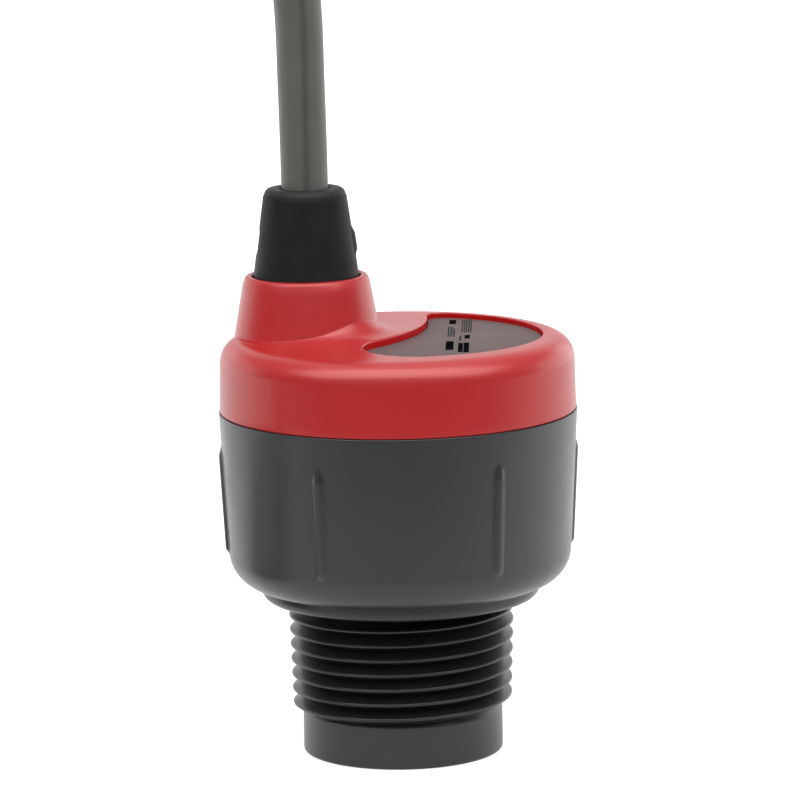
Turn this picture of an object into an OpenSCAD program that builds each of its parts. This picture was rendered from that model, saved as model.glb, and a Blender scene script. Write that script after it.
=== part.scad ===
// Ultrasonic level sensor: a threaded transducer housing with a moulded cap, a side cable boss
// with its strain relief, and a cable put away as a tied hank.
// Millimetres, +Z up, origin at the middle of the sensing face that the sensor stands on.

/* [Process connection] */
// Radius of the plain nose below the thread
nose_r = 14.8; // [13.5:0.1:15.5]
// Height of the plain nose
nose_h = 5.7; // [4:0.1:12]
// Radius of the rounding round the sensing face
nose_edge = 0.5; // [0.4:0.1:2]
// Crest radius of the thread at its upper end
thread_r = 16.65; // [16:0.05:17]
// Height of the threaded stretch
thread_h = 17.5; // [15:0.1:20]
// Distance from one turn of the thread to the next
thread_pitch = 2.209; // [1.6:0.001:2.6]
// Depth of the thread groove
thread_depth = 1.4; // [0.8:0.05:1.7]
// Radius that the tapered thread gains for each unit of height
thread_taper = 0.03125; // [0:0.00125:0.05]
// Radius of the shallow collar between the thread and the body
collar_r = 19.7; // [18:0.1:19.8]
// Height of the collar
collar_h = 2.3; // [1.5:0.1:4]
// Radius of the rounding under the collar
collar_edge = 0.8; // [0.3:0.1:1.2]

/* [Housing] */
// Outer radius of the body at its mouth
body_r = 26.4; // [26:0.1:30]
// Height of the body from its underside to its mouth
body_h = 25.7; // [24:0.1:40]
// Radius that the body wall loses from the mouth to the foot, as mould draft
body_draft = 1.1; // [0:0.1:1.4]
// Radius of the rounded foot of the body
foot_round = 5.3; // [4:0.1:6]
// Wall of the body's floor and foot
wall = 2.6; // [2:0.1:3]
// Wall at the body's mouth, round the cap's spigot
mouth_wall = 3.2; // [2.4:0.1:3.6]
// Thickness of the sensing face
face_wall = 1.6; // [1:0.1:2.5]
// Radius of the bore that holds the transducer
bore_r = 11.5; // [10.5:0.1:12]

/* [Grip ribs] */
// Number of ribs round the body
rib_count = 6; // [3:1:12]
// Width of a rib
rib_w = 1.6; // [0.8:0.1:3]
// Height of a rib above the body wall
rib_proud = 0.45; // [0.2:0.05:1]
// Height of the ribs' lower ends above the underside
rib_low = 4.4; // [3.5:0.1:6]
// Length of a rib
rib_len = 16.9; // [8:0.1:18]
// Angle of the first rib from the X axis
rib_turn = 3.5; // [-30:0.5:30]

/* [Cap] */
// Step in from the body to the cap at the seam
cap_step = 0.15; // [0:0.05:0.6]
// Height of the cap from the seam to the middle of its top
cap_h = 11.1; // [9:0.1:15]
// Radius of the rounding round the top
cap_edge = 3.4; // [2:0.1:4.5]
// Height that the crowned top loses towards its edge
cap_crown = 0.3; // [0.1:0.05:1]
// Wall of the cap's side
cap_wall = 2.7; // [2:0.1:3.2]
// Thickness of the cap's top at its middle
cap_roof = 3.2; // [2.8:0.1:4]
// Thickness of the ring that joins the cap's wall to its spigot
cap_sill = 2; // [1.2:0.1:3]
// Depth of the spigot that enters the body's mouth
spigot_h = 5; // [4:0.1:6]
// Wall of the spigot
spigot_wall = 2.6; // [2.2:0.1:3.4]
// Radius of the seal's round section
seal_r = 0.8; // [0.6:0.05:1]

/* [Cable boss] */
// Place of the boss to the side of the cap's axis
boss_x = -13.2; // [-14:0.1:-12.5]
// Place of the boss behind the cap's axis
boss_y = 3.5; // [2:0.1:5]
// Height of the boss rim above the seam
boss_h = 19.6; // [17:0.1:24]
// Radius of the boss at its rim
boss_rim_r = 9.2; // [9:0.1:9.6]
// Slope of the boss wall from upright, in degrees
boss_slope = 10.1; // [6:0.1:11]
// Radius of the rounding on the boss rim
boss_edge = 0.8; // [0.3:0.1:1]
// Distance that the cove round the boss's foot is set off from the boss axis
cove_shift = 2.8; // [2:0.1:3]
// Direction in which the cove is set off, from the X axis
cove_turn = -37; // [-60:1:0]
// Radius of the cove's hollow
cove_r = 5.9; // [5.9:0.1:7]
// Radius of the cove's foot
cove_foot_r = 12.8; // [12:0.1:13]

/* [Label window] */
// Place of the window's outer edge to the side of the cap's axis
window_x = 1; // [0:0.1:1.5]
// Place of the window's outer edge behind the cap's axis
window_y = 1; // [0:0.1:1.5]
// Radius of the window's outer edge
window_r = 20.5; // [18:0.1:20.6]
// Radius of the curved edge that faces the boss
window_sweep_r = 35; // [28:0.5:45]
// Distance that this edge passes beyond the middle of the outer edge
window_past = 0.3; // [0:0.1:4]
// Direction of the curved edge's centre, from the X axis
window_turn = 155; // [145:0.5:160]
// Corner radius at the window's front end
window_front_round = 8; // [5:0.1:9]
// Corner radius at the window's rear end
window_rear_round = 2.5; // [1:0.1:4]
// Depth of the window below the middle of the cap's top
window_depth = 1.6; // [1.2:0.05:1.7]
// Thickness of the label plate
label_t = 0.6; // [0.3:0.05:0.8]

/* [Strain relief] */
// Radius of the cable
cable_r = 3.5; // [2.5:0.1:3.5]
// Height of the strain relief above the boss rim
boot_h = 12.9; // [10:0.1:20]
// Radius of the strain relief at its foot
boot_foot_r = 8; // [7:0.1:8.1]
// Radius of the strain relief at its top
boot_top_r = 6; // [5:0.1:6.5]
// Radius of the rounding on its top edge
boot_edge = 1; // [0.4:0.1:1.4]
// Radius of the shank that passes through the boss
shank_r = 6.6; // [5.8:0.1:6.8]
// Depth of the seat in the boss rim
seat_depth = 1.7; // [0.6:0.1:2]
// Radius of the flange inside the cap
flange_r = 8; // [7.4:0.1:8.6]
// Thickness of the flange inside the cap
flange_t = 2.2; // [1.5:0.1:3]
// Height of the lug and the dimple on its sides
lug_h = 4.6; // [2:0.1:6]
// Width of the lug and the dimple
lug_w = 3.2; // [2:0.1:4]
// Height of the lug above the side
lug_proud = 0.5; // [0.2:0.05:0.8]

/* [Transducer] */
// Thickness of the matching layer on the sensing face
matching_t = 1; // [0.6:0.1:2]
// Radius of the piezo disc
piezo_r = 9.5; // [7:0.1:9.6]
// Thickness of the piezo disc
piezo_t = 4; // [2:0.1:5]
// Thickness of the damping pad behind the disc
damping_t = 5.4; // [3:0.1:6]
// Height of the potting plug above the pad
potting_h = 10; // [6:0.1:11]

/* [Electronics] */
// Height of the main board's underside above the body's inner floor
board_lift = 3.5; // [2.5:0.1:5]
// Thickness of the circuit boards
board_t = 1.6; // [1:0.1:2]
// Radius of the main board
board_r = 20; // [19.5:0.1:21]
// Distance between the two boards
board_gap = 10; // [9.6:0.1:11]
// Radius of the circle that screws and spacers stand on
post_circle_r = 17.3; // [17:0.1:17.4]

/* [Cable hank] */
// Radius of the hank's outermost turn at its middle line
hank_r = 28; // [27:0.5:32]
// Length of the hank's straight runs
hank_run = 50; // [46:1:70]
// Thickness of the tie
tie_t = 1.1; // [0.8:0.1:1.6]
// Width of the tie
tie_w = 4.6; // [3:0.1:6]

/* [Hidden] */
$fn = 96;

// Clearances between pieces that fit each other
slip = 0.1;
label_slip = 0.15;
seal_slip = 0.05;

// Heights of the stack, from the sensing face up
collar_z = nose_h + thread_h;
body_z = collar_z + collar_h;
seam_z = body_z + body_h;
cap_top_z = seam_z + cap_h;
rim_z = seam_z + boss_h;
boot_top_z = rim_z + boot_h;
floor_z = collar_z + wall;
board_z = floor_z + board_lift;
board_top_z = board_z + board_t;
upper_z = board_top_z + board_gap;
upper_top_z = upper_z + board_t;

// Thread form: each turn's crest and foot as shares of the pitch
crest_half = 0.09 * thread_pitch;
foot_half = 0.46 * thread_pitch;
thread_lead = 0.4;
thread_turns = floor((thread_h - thread_lead) / thread_pitch);
function crest_at(z) = thread_r - (collar_z - z) * thread_taper;
function turn_z(i) = nose_h + thread_lead + (i + 0.5) * thread_pitch;

// Housing
foot_r = body_r - body_draft;
foot_flat_r = foot_r - foot_round;
mouth_r = body_r - mouth_wall;
collar_top_r = min(collar_r, foot_flat_r - 0.2);
spigot_z = seam_z - spigot_h;
bore_slip_r = bore_r - slip;
function wall_at(z) = foot_r + body_draft * (z - body_z - foot_round) / (body_h - foot_round);

// Board posts in the housing and their screws
post_r = 2.3;
pilot_r = 0.95;
pilot_depth = 3;
screw_head_r = 2;
screw_head_h = 1.5;
screw_length = 2.6;
screw_angles = [30, 150, 270];
spacer_angles = [90, 210, 330];
spacer_r = 2.2;

// Cap
cap_r = body_r - cap_step;
cap_draft = 0.15;
cap_top_r = cap_r - cap_draft - cap_edge;
cap_edge_z = cap_top_z - cap_crown - cap_edge;
roof_z = cap_top_z - cap_roof;
cap_in_r = cap_r - cap_draft - cap_wall;
spigot_r = mouth_r - slip;
spigot_in_r = spigot_r - spigot_wall;
groove_r = spigot_r - 2 * seal_r;
groove_half = seal_r + slip;
seal_z = spigot_z + spigot_h / 2;
function crown_at(r) = cap_top_z - cap_crown * pow(r / cap_top_r, 2);

// Cable boss and its cove
boss_at = [boss_x, boss_y, 0];
function boss_at_z(z) = boss_rim_r + (rim_z - z) * tan(boss_slope);
cove_at = boss_at + cove_shift * [cos(cove_turn), sin(cove_turn), 0];
cove_z = cap_top_z - cap_crown - 0.5;
seat_z = rim_z - seat_depth;
seat_r = boot_foot_r + 2 * slip;

// Strain relief
flange_z = roof_z - flange_t;
crimp_h = 3;
crimp_r = cable_r + 1.4;
cable_end_z = flange_z - crimp_h;
lug_z = seat_z + 4.4;
dimple_depth = 0.15;
cable_hole_r = cable_r + slip;

// Label window
window_z = cap_top_z - window_depth;
sweep_at = (window_sweep_r - window_past) * [cos(window_turn), sin(window_turn)];

// Transducer stack
matching_z = face_wall;
piezo_z = matching_z + matching_t;
damping_z = piezo_z + piezo_t;
potting_z = damping_z + damping_t;
potting_top_z = potting_z + potting_h;
piezo_lead_x = 4;
piezo_lead_r = 0.4;
piezo_hole_r = piezo_lead_r + slip;

// Parts on the boards
header_size = [14, 4, board_gap];
core_size = [11, 10, 8.6];
core_at = [6.5, 4, board_top_z];
core_leg = 3;
core_window = 2.6;
core_yoke = 1.8;
capacitor_r = 3.2;
capacitor_h = 8.8;
chip_size = [2, 1.25, 0.6];
main_chips = [[-3, -4], [1, -4], [5, -5], [-9, -3], [-12, 0], [11, -5], [-4, 13], [-4, 10]];
upper_chips = [[0, -12], [4, -12], [8, -10], [12, 4], [12, 1], [-2, 4], [-2, 7], [2, 12]];
controller_size = [7, 7, 1.2];
crystal_length = 8;
crystal_w = 3.4;
terminal_size = [9, 7, 6];
terminal_top_z = upper_top_z + terminal_size[2];
inner_lead_r = 0.6;
inner_lead_offset = 1.3;

// Cable outside the sensor: down to the start of the hank's outer upper turn
hank_layers = 2;
hank_cols = 2;
cable_d = 2 * cable_r;
hank_near_x = -99;
hank_far_x = hank_near_x - hank_run;
hank_band = hank_cols * cable_d;
hank_out_r = hank_r + cable_r;
hank_in_r = hank_out_r - hank_band;
hank_z = tie_t;
hank_top_z = hank_z + hank_layers * cable_d;
upper_track_z = hank_top_z - cable_r;
lower_track_z = hank_z + cable_r;
entry_x = -110;
leads_x = -135;
tie_x = -128;
tie_head = [5.6, 5, 3];
cable_sides = 12;
cable_route = [
    [boss_x, boss_y, cable_end_z], [boss_x, boss_y, 70], [boss_x, boss_y, 84],
    [-13.4, 3.4, 98], [-13.8, 3, 112], [-15.5, 2, 126], [-20, 0, 139], [-28, -4, 150],
    [-39, -9, 156], [-51, -15, 156], [-62, -20, 150], [-71, -24, 140], [-76.5, -26.5, 127],
    [-78.5, -27.7, 113], [-79, -28, 98], [-79, -28, 84], [-79, -28, 70], [-79, -28, 56],
    [-79.3, -28, 44], [-81.5, -28, 33], [-86.5, -28, 23.5], [-94.5, -28, 15.5],
    [-102.5, -28, 12.2], [entry_x + 4, -28, upper_track_z], [entry_x, -28, upper_track_z]];

// Flying leads at the cable's far end
lead_r = 0.8;
lead_sides = 8;
lead_colours = ["firebrick", "black", "whitesmoke", "seagreen"];
lead_spread = 1.8;
lead_end_x = -99;
tip_r = 0.5;
tip_length = 6;
lead_root_r = 1.35;
lead_slots = [3, 0, 1, 2];
function lead_y(i) = hank_r + (lead_slots[i] - 1.5) * lead_spread;
function lead_root(i) =
    [leads_x, hank_r, lower_track_z] + lead_root_r * [0, cos(45 + 90 * i), sin(45 + 90 * i)];
function lead_drop(i, share) = lead_r + (lead_root(i)[2] - lead_r) * share;
function lead_route(i) = [
    lead_root(i), lead_root(i) + [3, 0, 0], [-125, lead_y(i), lead_drop(i, 0.55)],
    [-117, lead_y(i), lead_drop(i, 0.15)], [-110, lead_y(i), lead_r], [lead_end_x, lead_y(i), lead_r]];

// Points of an arc from one angle to another
function arc(centre, r, from, to, steps = 8) =
    [for (i = [0:steps]) let (a = from + (to - from) * i / steps) centre + r * [cos(a), sin(a)]];

// Outline of the label window, drawn smaller by a clearance
function window_corner(r, outer, sweep, side) =
    let (a = outer - r, b = sweep + r, c = norm(sweep_at),
         turn = acos((a * a + c * c - b * b) / (2 * a * c)))
    a * [cos(window_turn + side * turn), sin(window_turn + side * turn)];
function angle_of(v) = atan2(v[1], v[0]);
function window_outline(slip_in) =
    let (outer = window_r - slip_in, sweep = window_sweep_r + slip_in,
         rf = window_front_round - slip_in, rr = window_rear_round - slip_in,
         front = window_corner(rf, outer, sweep, 1), rear = window_corner(rr, outer, sweep, -1),
         front_turn = angle_of(front), rear_turn = angle_of(rear),
         sweep_rear = angle_of(rear - sweep_at), sweep_front = angle_of(front - sweep_at))
    concat(arc([0, 0], outer, front_turn, rear_turn, 32),
           arc(rear, rr, rear_turn, sweep_rear + 180, 5),
           arc(sweep_at, sweep, sweep_rear, sweep_front, 14),
           arc(front, rf, sweep_front + 180, front_turn + 360, 14));

// A round tube swept along a route's points
function unit(v) = v / norm(v);
function heading(route, i) =
    unit(route[min(i + 1, len(route) - 1)] - route[max(i - 1, 0)]);
function ring(route, i, r, sides) =
    let (t = heading(route, i), u = unit(cross(t, [0, 1, 0])), v = cross(t, u))
    [for (k = [0:sides - 1]) route[i] + r * (cos(360 * k / sides) * u + sin(360 * k / sides) * v)];
module tube(route, r, sides) {
    rings = len(route);
    points = [for (i = [0:rings - 1]) each ring(route, i, r, sides)];
    sides_faces = [for (i = [0:rings - 2]) for (k = [0:sides - 1])
        let (n = (k + 1) % sides)
        [i * sides + k, (i + 1) * sides + k, (i + 1) * sides + n, i * sides + n]];
    start = [for (k = [0:sides - 1]) k];
    end = [for (k = [sides - 1:-1:0]) (rings - 1) * sides + k];
    polyhedron(points, concat([start], sides_faces, [end]), convexity = 6);
}

module at_angles(angles, r) {
    for (a = angles) rotate(a) translate([r, 0, 0]) children();
}

// A hole or a rod that stands upright between two heights
module upright(r, low, high) {
    translate([0, 0, low]) cylinder(r = r, h = high - low);
}

module block(size, at) {
    translate([at[0] - size[0] / 2, at[1] - size[1] / 2, at[2]]) cube(size);
}

// A slot outline with round ends, standing on its lower end
module slot_outline(w, length) {
    translate([-w / 2, w / 2]) square([w, length - w]);
    translate([0, w / 2]) circle(d = w, $fn = 24);
    translate([0, length - w / 2]) circle(d = w, $fn = 24);
}

// Housing with the nose, the thread turns and the body in one moulding
module sensor_housing() {
    turns = [for (i = [0:thread_turns - 1]) let (z = turn_z(i), crest = crest_at(z))
        each [[crest - thread_depth, z - foot_half], [crest, z - crest_half],
              [crest, z + crest_half], [crest - thread_depth, z + foot_half]]];
    outside = concat(
        [[0, 0]],
        arc([nose_r - nose_edge, nose_edge], nose_edge, -90, 0, 6),
        [[nose_r, nose_h], [crest_at(nose_h) - thread_depth, nose_h]],
        turns,
        [[thread_r - thread_depth, collar_z]],
        arc([collar_top_r - collar_edge, collar_z + collar_edge], collar_edge, -90, 0, 6),
        [[collar_top_r, body_z]],
        arc([foot_flat_r, body_z + foot_round], foot_round, -90, 0, 12),
        [[body_r, seam_z], [0, seam_z]]);
    cavity = concat(
        [[0, floor_z], [collar_top_r - wall, floor_z], [collar_top_r - wall, body_z + wall]],
        arc([foot_flat_r, body_z + foot_round], foot_round - wall, -90, 0, 8),
        [[mouth_r, spigot_z - 1], [mouth_r, seam_z + 1], [0, seam_z + 1]]);
    color("#3b3d40") difference() {
        union() {
            difference() {
                union() {
                    rotate_extrude() polygon(outside);
                    grip_ribs();
                }
                rotate_extrude() polygon(cavity);
            }
            at_angles(screw_angles, post_circle_r) upright(post_r, floor_z - 0.2, board_z);
        }
        upright(bore_r, face_wall, floor_z + 1);
        at_angles(screw_angles, post_circle_r) upright(pilot_r, board_z - pilot_depth, board_z + 1);
    }
}

// Ribs that follow the drafted wall, each a slot outline seen from outside
module grip_ribs() {
    low = body_z + rib_low;
    high = low + rib_len;
    depth = 1;
    intersection() {
        rotate_extrude() polygon([
            [wall_at(low) - depth, low], [wall_at(low) + rib_proud, low],
            [wall_at(high) + rib_proud, high], [wall_at(high) - depth, high]]);
        for (k = [0:rib_count - 1])
            rotate(rib_turn + 360 * k / rib_count) translate([foot_r - 2 * depth, 0, low])
                rotate([90, 0, 90]) linear_extrude(4 * depth) slot_outline(rib_w, rib_len);
    }
}

// Moulded cap: crowned top, spigot, offset cable boss with its cove, and the label window
module top_cap() {
    crown_steps = 6;
    outside = concat(
        [[0, seam_z], [cap_r, seam_z]],
        arc([cap_top_r, cap_edge_z], cap_edge, 0, 90, 8),
        [for (i = [crown_steps - 1:-1:0]) let (r = cap_top_r * i / crown_steps) [r, crown_at(r)]]);
    color("#b02a2c") difference() {
        union() {
            rotate_extrude() polygon(outside);
            upright(spigot_r, spigot_z, seam_z);
            translate(boss_at) rotate_extrude() polygon(boss_outline());
            translate(cove_at) rotate_extrude() polygon(cove_outline());
        }
        upright(cap_in_r, seam_z + cap_sill, roof_z);
        upright(spigot_in_r, spigot_z - 1, seam_z + 2 * cap_sill);
        difference() {
            upright(spigot_r + 1, seal_z - groove_half, seal_z + groove_half);
            upright(groove_r, seal_z - 2 * groove_half, seal_z + 2 * groove_half);
        }
        translate(boss_at) {
            upright(shank_r + slip, roof_z - 1, rim_z + 1);
            upright(seat_r, seat_z, rim_z + 1);
        }
        translate([window_x, window_y, window_z]) linear_extrude(cap_h) polygon(window_outline(0));
    }
}

function boss_outline() = concat(
    [[0, roof_z], [boss_at_z(roof_z), roof_z]],
    arc([boss_rim_r - boss_edge, rim_z - boss_edge], boss_edge, boss_slope, 90, 5),
    [[0, rim_z]]);

function cove_outline() = concat(
    [[0, roof_z], [cove_foot_r, roof_z]],
    arc([cove_foot_r, cove_z + cove_r], cove_r, 270, 180, 10),
    [[0, cove_z + cove_r]]);

// Round sealing ring in the spigot's groove
module cap_seal() {
    color("#1c1c1c") translate([0, 0, seal_z]) rotate_extrude()
        translate([mouth_r - seal_slip - seal_r, 0]) circle(r = seal_r, $fn = 32);
}

module label_plate() {
    color("#918786") translate([window_x, window_y, window_z]) linear_extrude(label_t)
        polygon(window_outline(label_slip));
}

// Rubber strain relief: flange, shank and tapered sleeve, with a lug and a dimple on its sides
module strain_relief() {
    side_slope = atan((boot_foot_r - boot_top_r) / (boot_top_z - seat_z));
    sleeve = concat(
        [[0, flange_z], [flange_r, flange_z], [flange_r, roof_z], [shank_r, roof_z],
         [shank_r, seat_z], [boot_foot_r, seat_z]],
        arc([boot_top_r - boot_edge, boot_top_z - boot_edge], boot_edge, side_slope, 90, 6),
        [[0, boot_top_z]]);
    color("#262626") translate(boss_at) difference() {
        union() {
            rotate_extrude() polygon(sleeve);
            intersection() {
                side_band(lug_proud, 2);
                side_patch(0);
            }
        }
        intersection() {
            side_band(lug_proud, lug_proud + dimple_depth);
            side_patch(180);
        }
        upright(cable_hole_r, flange_z - 1, boot_top_z + 1);
    }
}

function boot_at_z(z) =
    boot_foot_r - (boot_foot_r - boot_top_r) * (z - seat_z) / (boot_top_z - seat_z);

// A band that follows the sleeve's side, from a little inside it to a little outside
module side_band(outside, thickness) {
    top = lug_z + lug_h;
    rotate_extrude() polygon([
        [boot_at_z(lug_z) + outside - thickness, lug_z], [boot_at_z(lug_z) + outside, lug_z],
        [boot_at_z(top) + outside, top], [boot_at_z(top) + outside - thickness, top]]);
}

module side_patch(turn) {
    rotate(turn) translate([0, 0, lug_z]) rotate([90, 0, 90])
        linear_extrude(2 * boot_foot_r) slot_outline(lug_w, lug_h);
}

// Ring that stops the cable from being pulled out
module cable_crimp() {
    color("#b9b4a4") translate(boss_at) difference() {
        upright(crimp_r, cable_end_z, flange_z);
        upright(cable_hole_r, cable_end_z - 1, flange_z + 1);
    }
}

module matching_layer() {
    color("#d8d2b8") upright(bore_slip_r, matching_z, piezo_z);
}

module piezo_disc() {
    color("#c9c2a0") upright(piezo_r, piezo_z, damping_z);
}

module isolation_sleeve() {
    color("#8a6a4a") difference() {
        upright(bore_slip_r, piezo_z, potting_z);
        upright(piezo_r + slip, piezo_z - 1, potting_z + 1);
    }
}

module damping_pad() {
    color("#5b5148") difference() {
        upright(piezo_r, damping_z, potting_z);
        piezo_lead_holes();
    }
}

module potting_plug() {
    color("#20242a") difference() {
        upright(bore_slip_r, potting_z, potting_top_z);
        piezo_lead_holes();
    }
}

module piezo_lead_holes() {
    at_angles([0, 180], piezo_lead_x) upright(piezo_hole_r, damping_z - 1, potting_top_z + 1);
}

module piezo_leads() {
    color("#c04a3a") at_angles([0, 180], piezo_lead_x) upright(piezo_lead_r, damping_z, board_z);
}

module main_board() {
    color("#1f6b45") difference() {
        upright(board_r, board_z, board_top_z);
        at_angles(screw_angles, post_circle_r) upright(pilot_r + slip, board_z - 1, board_top_z + 1);
    }
}

module board_screws() {
    color("#b8babd") at_angles(screw_angles, post_circle_r) {
        upright(screw_head_r, board_top_z, board_top_z + screw_head_h);
        upright(pilot_r - slip, board_z - screw_length, board_top_z);
    }
}

module board_spacers() {
    color("#c2a45a") at_angles(spacer_angles, post_circle_r)
        upright(spacer_r, board_top_z, upper_z);
}

module upper_board() {
    color("#1f6b45") upright(board_r - 0.5, upper_z, upper_top_z);
}

module board_header() {
    color("#2a2a2c") block(header_size, [0, -11, board_top_z]);
}

// Ferrite core with a middle leg, and the winding round that leg
module transformer_core() {
    inner_h = core_size[2] - 2 * core_yoke;
    color("#4a4a4e") difference() {
        block(core_size, core_at);
        for (side = [-1, 1])
            block([core_window, core_size[1] + 1, inner_h],
                  core_at + [side * (core_leg + core_window) / 2, 0, core_yoke]);
    }
}

module transformer_winding() {
    inner_h = core_size[2] - 2 * core_yoke;
    turn_w = core_leg + 2 * core_window;
    turn_d = core_size[1] + 2 * core_window;
    color("#b5713a") difference() {
        block([turn_w - 2 * slip, turn_d, inner_h - slip], core_at + [0, 0, core_yoke]);
        block([core_leg + 2 * slip, core_size[1] + 2 * slip, inner_h + 1],
              core_at + [0, 0, core_yoke - 0.5]);
    }
}

module reservoir_capacitor() {
    color("#30343c") translate([-8, 6, 0]) upright(capacitor_r, board_top_z, board_top_z + capacitor_h);
}

module microcontroller() {
    color("#202226") block(controller_size, [6, -3, upper_top_z]);
}

module timing_crystal() {
    color("#c8cacc") translate([6.5, 7, upper_top_z + crystal_w / 2]) rotate([0, 90, 0])
        upright(crystal_w / 2, -crystal_length / 2, crystal_length / 2);
}

module chip_parts() {
    color("#8c8f94") {
        for (p = main_chips) block(chip_size, [p[0], p[1], board_top_z]);
        for (p = upper_chips) block(chip_size, [p[0], p[1], upper_top_z]);
    }
}

module cable_terminal() {
    color("#3f7f5c") block(terminal_size, [boss_x, boss_y, upper_top_z]);
}

module inner_leads() {
    color("#b8432f") translate(boss_at) for (i = [0:3]) rotate(45 + 90 * i)
        translate([inner_lead_offset, 0, 0]) upright(inner_lead_r, terminal_top_z, cable_end_z);
}

module cable_run() {
    color("#6a6a67") tube(cable_route, cable_r, cable_sides);
}

// Outer shape of the hank: two turns side by side in each of two layers
module cable_hank() {
    notch_w = cable_d;
    reach = hank_out_r + 1;
    color("#6a6a67") difference() {
        translate([0, 0, hank_z]) linear_extrude(hank_top_z - hank_z) difference() {
            hank_outline(hank_out_r);
            hank_outline(hank_in_r);
        }
        // The cable comes down into the upper layer here
        translate([entry_x, -reach, upper_track_z - cable_r])
            cube([hank_near_x + reach - entry_x, reach - hank_r + notch_w / 2, cable_d + 1]);
        // The far end of the cable stops here, in the lower layer
        translate([leads_x, hank_r - notch_w / 2, hank_z - 1])
            cube([hank_near_x + reach - leads_x, reach, cable_d + 1]);
    }
}

module hank_outline(r) {
    translate([hank_far_x, -r]) square([hank_run, 2 * r]);
    for (x = [hank_far_x, hank_near_x]) translate([x, 0]) circle(r = r);
}

// Tie round the front bundle, with its head on top
module hank_tie() {
    side = hank_band + 2 * tie_t;
    middle_y = -(hank_out_r + hank_in_r) / 2;
    head_z = hank_top_z + tie_t;
    color("#1e1e1e") {
        difference() {
            block([tie_w, side, side], [tie_x, middle_y, 0]);
            block([tie_w + 2, hank_band, hank_band], [tie_x, middle_y, hank_z]);
        }
        block(tie_head, [tie_x, middle_y, head_z]);
    }
}

module flying_lead(i) {
    color(lead_colours[i]) tube(lead_route(i), lead_r, lead_sides);
}

module lead_red() { flying_lead(0); }
module lead_black() { flying_lead(1); }
module lead_white() { flying_lead(2); }
module lead_green() { flying_lead(3); }

module lead_tips() {
    color("#c9c9c4") for (i = [0:3])
        translate([lead_end_x, lead_y(i), lead_r]) rotate([0, 90, 0]) cylinder(r = tip_r, h = tip_length);
}

sensor_housing();
top_cap();
cap_seal();
label_plate();
strain_relief();
cable_crimp();
matching_layer();
piezo_disc();
isolation_sleeve();
damping_pad();
potting_plug();
piezo_leads();
main_board();
board_screws();
board_spacers();
upper_board();
board_header();
transformer_core();
transformer_winding();
reservoir_capacitor();
microcontroller();
timing_crystal();
chip_parts();
cable_terminal();
inner_leads();
cable_run();
cable_hank();
hank_tie();
lead_red();
lead_black();
lead_white();
lead_green();
lead_tips();
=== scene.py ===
import math

import bmesh
import bpy
from mathutils import Matrix, Quaternion, Vector


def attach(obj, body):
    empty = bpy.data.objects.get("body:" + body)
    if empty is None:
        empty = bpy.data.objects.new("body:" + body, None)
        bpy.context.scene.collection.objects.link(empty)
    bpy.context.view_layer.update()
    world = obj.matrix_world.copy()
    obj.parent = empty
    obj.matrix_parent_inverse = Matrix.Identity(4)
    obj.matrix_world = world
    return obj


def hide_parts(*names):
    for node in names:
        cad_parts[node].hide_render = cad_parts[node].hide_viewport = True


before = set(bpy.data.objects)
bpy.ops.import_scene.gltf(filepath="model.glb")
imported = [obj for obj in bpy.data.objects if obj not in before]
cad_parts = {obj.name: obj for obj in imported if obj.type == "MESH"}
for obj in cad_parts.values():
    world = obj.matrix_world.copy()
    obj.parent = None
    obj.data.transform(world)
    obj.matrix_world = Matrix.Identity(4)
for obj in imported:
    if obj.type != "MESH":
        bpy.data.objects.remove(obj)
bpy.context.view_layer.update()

# Sizes are in millimetres, as on the drawing of the sensor, and each piece is brought to metres when
# it is finished. Heights run up from the sensing face, and angles are in degrees.
MM = 0.001
UP = Vector((0, 0, 1))
# Vertices closer than the weld are merged, places closer than the touch count as one, and a cut or a
# search is good to a hair
WELD = 0.0005
TOUCH = 0.01
HAIR = 0.0001
# Edges that bend more than this are shaded sharp
SHARP = 35
# Steps of a full turn on plain round forms
ROUND_STEPS = 96

# Nose and pipe thread; the thread is wound from some turns below its first whole crest, then trimmed
NOSE_R = 14.8
NOSE_EDGE = 0.5
NOSE_GAP = 0.15
THREAD_Z = 6.5
THREAD_R = 16.75
THREAD_PITCH = 2.209
THREAD_DEPTH = 1.66
THREAD_TAPER = 1 / 32
THREAD_CREST_Z = 8.4
THREAD_TURNS = 11
THREAD_TURNS_BELOW = 3
CREST_ROUND = 0.27
CREST_TURN = 72
RUN_IN_SINK = 0.1
RUN_IN_SLOPE = 1.8
RUN_OUT_SLOPE = 2
COLLAR_Z = 23.2
COLLAR_R = 20.6
COLLAR_EDGE = 1.4
NECK_STEP = 0.4

# Body of the housing
BODY_Z = 25.2
BODY_R = 26.4
BODY_LIP = 0.12
FOOT_R = 25.3
FOOT_ROUND = 5.2
FOOT_LIP = 0.3
SEAM_Z = 51.2
WALL = 2.6
MOUTH_R = 23.2
MOUTH_Z = 45.2
FACE_WALL = 1.6
BORE_R = 11.5
# The open rims that are bridged lie within this of the thread's ends
JOIN_REACH = 1

# Grip ribs on the body, each in a narrow sector of its own with finer steps
RIB_COUNT = 6
RIB_TURN = 3.5
RIB_SECTOR = 7
RIB_STEPS = 28
BETWEEN_RIBS_STEPS = 16
RIB_HALF_W = 1.15
RIB_RUN_OUT = 2.6
RIB_PROUD = 0.5
RIB_STEEPNESS = 1.2
RIB_LOW = 29.9
RIB_HIGH = 46.8

# Cap
CAP_R = 26.25
CAP_EDGE = 3.4
CAP_TOP_R = 22.7
CAP_TOP_Z = 62.3
CAP_CROWN = 0.3
CAP_EDGE_Z = CAP_TOP_Z - CAP_CROWN - CAP_EDGE
CAP_LIP = 0.35
CAP_SHARP = 38
ROOF_Z = 59.1
SPIGOT_Z = 46.2
SPIGOT_R = 23.1
SPIGOT_IN_R = 20.5
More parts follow.
